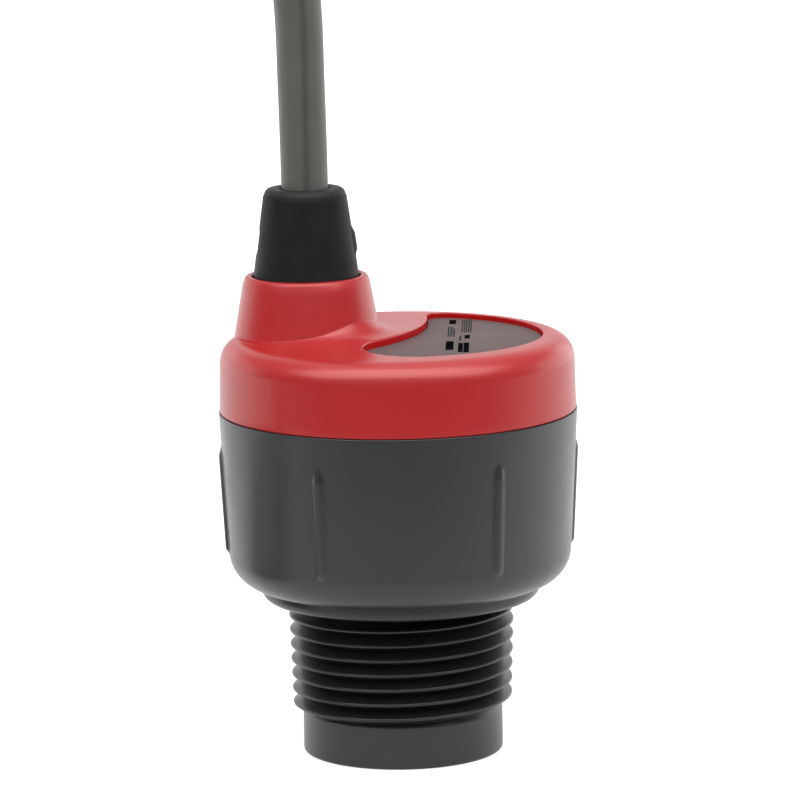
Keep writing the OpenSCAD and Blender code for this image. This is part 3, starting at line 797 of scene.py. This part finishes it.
def cap_side():
    """The cap's section below its top, as (radius, height): the rest of the rounded edge, the drafted
    side, the lip at the seam and the spigot."""
    edge = arc((CAP_TOP_R, CAP_EDGE_Z), CAP_EDGE, math.degrees(math.acos(EDGE_SHARE)), 0, steps=9)[1:]
    low = (CAP_R, SEAM_Z + CAP_LIP)
    side = [tuple(Vector(edge[-1]).lerp(Vector(low), share)) for share in steps_between(0, 1, steps=6)[1:]]
    lip = arc((CAP_R - CAP_LIP, SEAM_Z + CAP_LIP), CAP_LIP, 0, -90, steps=5)[1:]
    return edge + side + lip + [(SPIGOT_R, SEAM_Z), (SPIGOT_R, SPIGOT_Z), (SPIGOT_IN_R, SPIGOT_Z)]


def cap_column(ray):
    """The cap's section along one ray from the boss's axis: from the bore over the rim, down the boss,
    across the top, over the edge, down the side, under the spigot and back along the roof."""
    def at(out, z):
        return BOSS + ray * out + UP * z

    def on_top(out):
        point = BOSS + ray * out
        return at(out, top_z(point.x, point.y))

    foot = boss_foot(ray)
    over = foot - BOSS_FILLET * BOSS_SLOPE
    past = foot + BOSS_FILLET
    boss = [(BOSS_BORE_R, ROOF_Z), (BOSS_BORE_R, SEAT_Z), (SEAT_R, SEAT_Z)]
    boss += arc((SEAT_R + SEAT_EDGE, RIM_Z - SEAT_EDGE), SEAT_EDGE, 180, 90, steps=3)
    boss += arc((RIM_R - RIM_EDGE, RIM_Z - RIM_EDGE), RIM_EDGE, 90, BOSS_TAPER, steps=6)
    boss += [(out, boss_z(out)) for out in steps_between(RIM_R, over, steps=8)[1:]]
    column = [at(out, z) for out, z in boss]
    start, corner, end = at(over, boss_z(over)), at(foot, boss_z(foot)), on_top(past)
    for share in steps_between(0, 1, steps=4)[1:-1]:
        column.append(start.lerp(corner, share).lerp(corner.lerp(end, share), share))
    edge = reach_circle(ray, CAP_TOP_R + EDGE_SHARE * CAP_EDGE)
    cove_end = past + min(COVE_REACH, (edge - past) / 2)
    outs = steps_between(past, cove_end, steps=16)
    outs += [edge - (edge - cove_end) * (1 - share) ** EDGE_CROWDING
             for share in steps_between(0, 1, steps=24)[1:]]
    column += [on_top(out) for out in outs]
    side = (BOSS + ray * edge).normalized()
    column += [side * radius + UP * z for radius, z in cap_side()]
    column.append(at(reach_circle(ray, SPIGOT_IN_R), ROOF_Z))
    return column


def window_outline(slip):
    """The label window's outline, drawn smaller by a clearance: the outer arc, the rear corner, the
    sweep that faces the boss and the front corner."""
    turn = math.radians(WINDOW_TURN)
    sweep_at = Vector((math.cos(turn), math.sin(turn))) * WINDOW_SWEEP_OUT
    outer = WINDOW_R - slip
    sweep_r = WINDOW_SWEEP_R + slip
    rounds = (WINDOW_FRONT_ROUND - slip, WINDOW_REAR_ROUND - slip)
    corners = []
    for radius, side in zip(rounds, (1, -1)):
        near = outer - radius
        far = sweep_r + radius
        spread = math.acos((near ** 2 + WINDOW_SWEEP_OUT ** 2 - far ** 2) / (2 * near * WINDOW_SWEEP_OUT))
        corners.append(Vector((math.cos(turn + side * spread), math.sin(turn + side * spread))) * near)
    front, rear = corners
    front_turn, rear_turn = (math.degrees(math.atan2(c.y, c.x)) for c in corners)
    sweep_front, sweep_rear = (math.degrees(math.atan2(*(c - sweep_at).yx)) for c in corners)
    outline = (arc((0, 0), outer, front_turn, rear_turn, steps=60)
               + arc(rear, rounds[1], rear_turn, sweep_rear + 180, steps=8)[1:]
               + arc(sweep_at, sweep_r, sweep_rear, sweep_front, steps=30)[1:]
               + arc(front, rounds[0], sweep_front + 180, front_turn + 360, steps=20)[1:-1])
    return [(x + WINDOW_AT.x, y + WINDOW_AT.y) for x, y in outline]


def window_cutter():
    """The body that is cut from the cap's top: the window, flared at its mouth into a rounded lip."""
    rings = [[Vector((x, y, WINDOW_Z)) for x, y in window_outline(0)]]
    for slope in WINDOW_LIP_SLOPES:
        out = WINDOW_LIP * (1 - math.sin(math.radians(slope)))
        sink = WINDOW_LIP * (1 - math.cos(math.radians(slope)))
        rings.append([Vector((x, y, crown_z(x, y) - sink)) for x, y in window_outline(-out)])
    mouth = window_outline(-out - WINDOW_LIP)
    rings.append([Vector((x, y, crown_z(x, y) + WINDOW_LIP * WINDOW_LIP_RISE)) for x, y in mouth])
    rings.append([Vector((x, y, CAP_TOP_Z + WINDOW_CUT_OVER)) for x, y in mouth])
    bm = bmesh.new()
    wrap_rings(bm, rings)
    settle(bm)
    return put_in_scene(bm, "window_cutter")


def cap_blank():
    """The cap before its window is cut: crowned top, boss, cove, rounded edge and spigot."""
    turns = [math.tau * i / CAP_RAYS for i in range(CAP_RAYS)]
    columns = [cap_column(Vector((math.cos(t), math.sin(t), 0))) for t in turns]
    bm = bmesh.new()
    wrap_rings(bm, [*zip(*columns), [column[0] for column in columns]])
    settle(bm)
    return put_in_scene(bm, "cap_blank")


def make_cap():
    """The red moulding with the window cut in; the upright faces on the window's floor are etched."""
    blank = cap_blank()
    cutter = window_cutter()
    cut = blank.modifiers.new("window", "BOOLEAN")
    cut.object = cutter
    cut.solver = "EXACT"
    cut_mesh = bpy.data.meshes.new_from_object(blank.evaluated_get(bpy.context.evaluated_depsgraph_get()))
    for part in (blank, cutter):
        bpy.data.objects.remove(part)
    bm = bmesh.new()
    bm.from_mesh(cut_mesh)
    mark_sharp(bm, CAP_SHARP)
    for face in bm.faces:
        lowest = min(v.co.z for v in face.verts)
        if abs(face.normal.z) < UPRIGHT and abs(lowest - WINDOW_Z) < TOUCH:
            face.material_index = 1
    cap = put_in_frame(bm, "cap", red_abs, ["top_cap"])
    cap.data.materials.append(etched_red_abs)


def make_label():
    """The grey plate that lies in the window."""
    bm = bmesh.new()
    face = bm.faces.new([bm.verts.new((x, y, WINDOW_Z)) for x, y in window_outline(LABEL_SLIP)])
    top = bmesh.ops.extrude_face_region(bm, geom=[face])["geom"]
    raised = [v for v in top if isinstance(v, bmesh.types.BMVert)]
    bmesh.ops.translate(bm, vec=UP * LABEL_T, verts=raised)
    rim = [e for e in top if isinstance(e, bmesh.types.BMEdge)]
    bmesh.ops.bevel(bm, geom=rim, offset=LABEL_EDGE, segments=2, profile=0.5, material=-1, affect="EDGES")
    settle(bm)
    put_in_frame(bm, "label", label_film, ["label_plate"])


def make_print(name, ink, marks):
    """Plain printed bars on the label, in columns that lean a little."""
    bm = bmesh.new()
    for x, width, low, high in marks:
        middle = (low + high) / 2
        place = (x - middle * math.tan(PRINT_LEAN), middle, WINDOW_Z + LABEL_T + INK_T / 2)
        bar = Matrix.Rotation(PRINT_LEAN, 4, "Z") @ Matrix.Diagonal((width, high - low, INK_T, 1))
        bmesh.ops.create_cube(bm, size=1, matrix=Matrix.Translation(place) @ bar)
    settle(bm)
    put_in_frame(bm, name, ink)


# Boot

def boot_at(z):
    """Radius of the boot's tapered side."""
    return BOOT_FOOT_R - (BOOT_FOOT_R - BOOT_TOP_R) * (z - SEAT_Z) / (BOOT_TOP_Z - SEAT_Z)


def boot_section():
    """Half the boot's section: the flange under the cap's roof, the shank through the boss, the tapered
    side, the rounded top and the bore."""
    slope = math.degrees(math.atan((BOOT_FOOT_R - BOOT_TOP_R) / (BOOT_TOP_Z - SEAT_Z)))
    top = arc((BOOT_TOP_R - BOOT_EDGE, BOOT_TOP_Z - BOOT_EDGE), BOOT_EDGE, slope, 90, steps=8)
    section = [(BOOT_BORE_R, FLANGE_Z), (FLANGE_R, FLANGE_Z), (FLANGE_R, ROOF_Z), (SHANK_R, ROOF_Z),
               (SHANK_R, SEAT_Z)]
    section += [(boot_at(z), z) for z in steps_between(SEAT_Z, top[0][1], steps=44)[:-1]]
    return section + top + [(BOOT_BORE_R + BOOT_MOUTH, BOOT_TOP_Z), (BOOT_BORE_R, BOOT_TOP_Z - BOOT_MOUTH)]


def make_boot():
    """The tapered rubber sleeve with its flange and shank, a lug on one side and a dimple opposite."""
    bm = bmesh.new()
    sectors = [(LUG_SECTOR, LUG_STEPS), (180 - LUG_SECTOR, BETWEEN_LUGS_STEPS)] * 2
    spin_section(bm, boot_section(), BOSS, sectors, start=-LUG_SECTOR / 2, closed=True)
    bmesh.ops.remove_doubles(bm, verts=bm.verts, dist=WELD)
    for vert in bm.verts:
        flat = Vector((vert.co.x - BOSS.x, vert.co.y - BOSS.y, 0))
        if flat.length < boot_at(vert.co.z) - BOOT_SKIN or vert.co.z < SEAT_Z:
            continue
        within = min(LUG_HALF_W - abs(flat.y), vert.co.z - LUG_LOW, LUG_HIGH - vert.co.z)
        amount = LUG_PROUD if flat.x > 0 else -DIMPLE_DEPTH
        vert.co += flat.normalized() * amount * ease(within / LUG_ROUND)
    settle(bm)
    put_in_frame(bm, "boot", boot_rubber, ["strain_relief"])


make_housing()
make_cap()
make_label()
make_print("label_bold_marks", black_ink, BOLD_MARKS)
make_print("label_fine_marks", grey_ink, FINE_MARKS)
make_boot()


# Inside, where nothing shows, the drawing's plain solids stay, each in the material it is made of

def dress(material, *nodes):
    """Gives a material to solids of the drawing that are kept as they are."""
    for node in nodes:
        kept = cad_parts[node].data.materials
        kept.clear()
        kept.append(material)


# Nitrile rubber: black and dull
nitrile = surface("nitrile_rubber", "151515", "1D1D1D", mottle=2, grain=0.2, depth=0.006,
                  rough=(0.5, 0.6), IOR=1.52)
dress(nitrile, "cap_seal")
# Rolled brass: warm pale metal with a soft sheen
rolled_brass = surface("rolled_brass", "B5A882", "C4B793", mottle=3, grain=0.2, depth=0.004,
                       rough=(0.3, 0.42), Metallic=1)
dress(rolled_brass, "cable_crimp")
# Resin filled with glass beads: pale cream, chalky
bead_resin = surface("bead_filled_resin", "D2CCB0", "DDD8C2", mottle=2, grain=0.15, depth=0.02,
                     rough=(0.6, 0.75))
dress(bead_resin, "matching_layer")
# Fired lead-titanate ceramic: dense cream, slightly glassy
ceramic = surface("fired_ceramic", "C6BE98", "D0C9A8", mottle=3, grain=0.1, depth=0.004,
                  rough=(0.35, 0.45), IOR=1.7)
dress(ceramic, "piezo_disc")
# Pressed cork: brown crumbs, no gloss
cork = surface("pressed_cork", "77532F", "A67C50", mottle=1.2, grain=0.5, depth=0.08, rough=(0.85, 0.95))
dress(cork, "isolation_sleeve")
# Rubber loaded with metal powder: dark brown, dull
damping_rubber = surface("loaded_damping_rubber", "50463C", "62574B", mottle=2, grain=0.3, depth=0.02,
                         rough=(0.7, 0.8))
dress(damping_rubber, "damping_pad")
# Cast potting compound: blue-black, with the level shine of a poured surface
potting = surface("cast_potting_compound", "14181D", "1B2026", mottle=9, grain=1.5, depth=0.01,
                  rough=(0.12, 0.2), IOR=1.55)
dress(potting, "potting_plug")
# Hook-up wire insulation: orange red, glossy
wire_pvc = surface("hook_up_wire_pvc", "AE3A22", "BC4530", mottle=3, grain=0.2, depth=0.003,
                   rough=(0.3, 0.4))
dress(wire_pvc, "piezo_leads", "inner_leads")
# Solder mask over glass-epoxy board: deep green with the weave just showing
solder_mask = surface("solder_mask", "12593A", "1A6B47", mottle=1.5, grain=0.6, depth=0.008,
                      rough=(0.22, 0.34), IOR=1.55)
dress(solder_mask, "main_board", "upper_board")
# Plain steel: cool grey, lightly drawn
steel = surface("plain_steel", "B0B2B4", "C0C2C4", mottle=2, grain=0.15, depth=0.003,
                rough=(0.24, 0.36), Metallic=1)
dress(steel, "board_screws", "timing_crystal")
# Turned brass: yellow metal with fine tool marks
turned_brass = surface("turned_brass", "BE9A4E", "CCAA62", mottle=2, grain=0.12, depth=0.004,
                       rough=(0.22, 0.34), Metallic=1)
dress(turned_brass, "board_spacers")
# Epoxy moulding compound of the components: charcoal, matt
epoxy = surface("epoxy_moulding_compound", "222326", "2B2C2F", mottle=2, grain=0.15, depth=0.005,
                rough=(0.55, 0.7))
dress(epoxy, "board_header", "reservoir_capacitor", "microcontroller", "chip_parts")
# Sintered ferrite: dark grey and stony
ferrite = surface("sintered_ferrite", "45454A", "515156", mottle=1.5, grain=0.2, depth=0.02,
                  rough=(0.6, 0.75))
dress(ferrite, "transformer_core")
# Enamelled copper wire: reddish metal under clear varnish
magnet_wire = surface("enamelled_copper", "A8632F", "B87440", mottle=1, grain=0.3, depth=0.03,
                      rough=(0.2, 0.3), Metallic=1)
dress(magnet_wire, "transformer_winding")
# Polyamide of the terminal block: mid green, satin
polyamide = surface("green_polyamide", "357A55", "3F8862", mottle=3, grain=0.25, depth=0.005,
                    rough=(0.4, 0.5))
dress(polyamide, "cable_terminal")


# Floor and light, in metres and watts

# The floor is darker in front, where it would show in the sensor's gloss, and pale behind; to the camera
# both are lifted to white
FLOOR_HALF = 4
FLOOR_DARK = "606060"
FLOOR_DARK_Y = -0.3
FLOOR_PALE = "D0D0D0"
FLOOR_PALE_Y = 0.05
FLOOR_ROUGHNESS = 0.9
FLOOR_SPECULAR = 0.1
FLOOR_LIFT = 0.7
FRONT_LIFT = 1.4
FLOOR_SHEEN = 0.85
# The world's soft light from the front and from behind
FRONT_FILL = 1.5
BACK_FILL = 0.45
# What gloss shows of the world: dark in front, white behind, dimmer to the sides; the places are parts of
# a ray's direction
FRONT_GLOSS = 0.05
GLOSS_DARK_Y = -0.6
GLOSS_WHITE_Y = 0.7
SIDE_GLOSS = 0.5
GLOSS_FULL_X = 0.15
GLOSS_DIM_X = 0.55
LAMP_AIM = Vector((0, 0, 0.05))


def mirrored_rays(tree, rays):
    """Picks out the rays that gloss or glass sends on."""
    return add(tree, "ShaderNodeMath", links={"Value": rays.outputs["Is Glossy Ray"],
                                              "Value_001": rays.outputs["Is Transmission Ray"]},
               operation="MAXIMUM").outputs[0]


def floor_paper():
    """The floor's paper: shaded as paper is, and lifted for the camera and for gloss behind the sensor."""
    material = bpy.data.materials.new("white_paper_sweep")
    material.use_nodes = True
    tree = material.node_tree
    shader = tree.nodes["Principled BSDF"]
    shader.inputs["Roughness"].default_value = FLOOR_ROUGHNESS
    shader.inputs["Specular IOR Level"].default_value = FLOOR_SPECULAR
    shader.inputs["Emission Color"].default_value = (1, 1, 1, 1)
    place = add(tree, "ShaderNodeTexCoord").outputs["Object"]
    depth = add(tree, "ShaderNodeSeparateXYZ", links={"Vector": place}).outputs["Y"]
    fade = add(tree, "ShaderNodeMapRange", {"From Min": FLOOR_DARK_Y, "From Max": FLOOR_PALE_Y},
               {"Value": depth}, interpolation_type="SMOOTHSTEP").outputs[0]
    paper = add(tree, "ShaderNodeMix", {"A_Color": srgb(FLOOR_DARK), "B_Color": srgb(FLOOR_PALE)},
                {"Factor_Float": fade}, data_type="RGBA").outputs[2]
    tree.links.new(paper, shader.inputs["Base Color"])
    rays = add(tree, "ShaderNodeLightPath")
    dimmed = add(tree, "ShaderNodeMath", {"Value_001": FLOOR_SHEEN}, {"Value": mirrored_rays(tree, rays)},
                 operation="MULTIPLY").outputs[0]
    behind = add(tree, "ShaderNodeMath", links={"Value": dimmed, "Value_001": fade},
                 operation="MULTIPLY").outputs[0]
    paler = add(tree, "ShaderNodeMapRange", {"To Min": FRONT_LIFT, "To Max": 1}, {"Value": fade}).outputs[0]
    shown = add(tree, "ShaderNodeMath", links={"Value": rays.outputs["Is Camera Ray"], "Value_001": paler},
                operation="MULTIPLY").outputs[0]
    seen = add(tree, "ShaderNodeMath", links={"Value": shown, "Value_001": behind},
               operation="MAXIMUM").outputs[0]
    lift = add(tree, "ShaderNodeMath", {"Value_001": FLOOR_LIFT}, {"Value": seen},
               operation="MULTIPLY").outputs[0]
    tree.links.new(lift, shader.inputs["Emission Strength"])
    return material


def make_floor():
    """A pale sheet that the sensor stands on: white to the camera, and still shaded by the sensor."""
    bm = bmesh.new()
    bmesh.ops.create_grid(bm, x_segments=1, y_segments=1, size=FLOOR_HALF)
    floor = put_in_scene(bm, "floor")
    floor.data.materials.append(floor_paper())


def make_world():
    """White to the camera and to gloss and glass behind the sensor, a plain soft light on everything
    else, fuller from the front, and dark to gloss on the camera's side."""
    world = bpy.data.worlds.new("white_studio")
    bpy.context.scene.world = world
    world.use_nodes = True
    tree = world.node_tree
    background = tree.nodes["Background"]
    background.inputs["Color"].default_value = (1, 1, 1, 1)
    way = add(tree, "ShaderNodeTexCoord").outputs["Generated"]
    parts = add(tree, "ShaderNodeSeparateXYZ", links={"Vector": way})
    fill = add(tree, "ShaderNodeMapRange", {"From Min": -1, "To Min": FRONT_FILL, "To Max": BACK_FILL},
               {"Value": parts.outputs["Y"]}).outputs[0]
    sheen = add(tree, "ShaderNodeMapRange", {"From Min": GLOSS_DARK_Y, "From Max": GLOSS_WHITE_Y,
                                             "To Min": FRONT_GLOSS},
                {"Value": parts.outputs["Y"]}, interpolation_type="SMOOTHSTEP").outputs[0]
    aside = add(tree, "ShaderNodeMath", links={"Value": parts.outputs["X"]},
                operation="ABSOLUTE").outputs[0]
    sides = add(tree, "ShaderNodeMapRange", {"From Min": GLOSS_FULL_X, "From Max": GLOSS_DIM_X,
                                             "To Min": 1, "To Max": SIDE_GLOSS},
                {"Value": aside}, interpolation_type="SMOOTHSTEP").outputs[0]
    gloss = add(tree, "ShaderNodeMath", links={"Value": sheen, "Value_001": sides},
                operation="MULTIPLY").outputs[0]
    rays = add(tree, "ShaderNodeLightPath")
    soft = add(tree, "ShaderNodeMix", links={"Factor_Float": mirrored_rays(tree, rays), "A_Float": fill,
                                             "B_Float": gloss}).outputs[0]
    level = add(tree, "ShaderNodeMix", {"B_Float": 1}, {"Factor_Float": rays.outputs["Is Camera Ray"],
                                                        "A_Float": soft}).outputs[0]
    tree.links.new(level, background.inputs["Strength"])


def softbox(name, place, size, power, sheen_only=False):
    """A large lamp aimed at the sensor, or one that only shows in the gloss."""
    lamp = bpy.data.lights.new(name, "AREA")
    lamp.shape = "RECTANGLE"
    lamp.size, lamp.size_y = size
    lamp.energy = power
    box = bpy.data.objects.new(name, lamp)
    box.location = place
    box.rotation_mode = "QUATERNION"
    box.rotation_quaternion = (LAMP_AIM - Vector(place)).to_track_quat("-Z", "Y")
    box.visible_camera = False
    box.visible_diffuse = not sheen_only
    bpy.context.scene.collection.objects.link(box)


make_floor()
make_world()
softbox("left_box", place=(-0.8, 0.7, 0.2), size=(1.1, 0.6), power=1.9)
softbox("right_box", place=(0.8, 0.7, 0.2), size=(1.1, 0.6), power=2.6)
softbox("top_box", place=(0, -0.1, 1.1), size=(1.2, 1.4), power=3.5)
softbox("top_sheen", place=(0, -0.45, 1.1), size=(2.8, 1.0), power=33, sheen_only=True)
bpy.context.scene.view_settings.view_transform = "Standard"
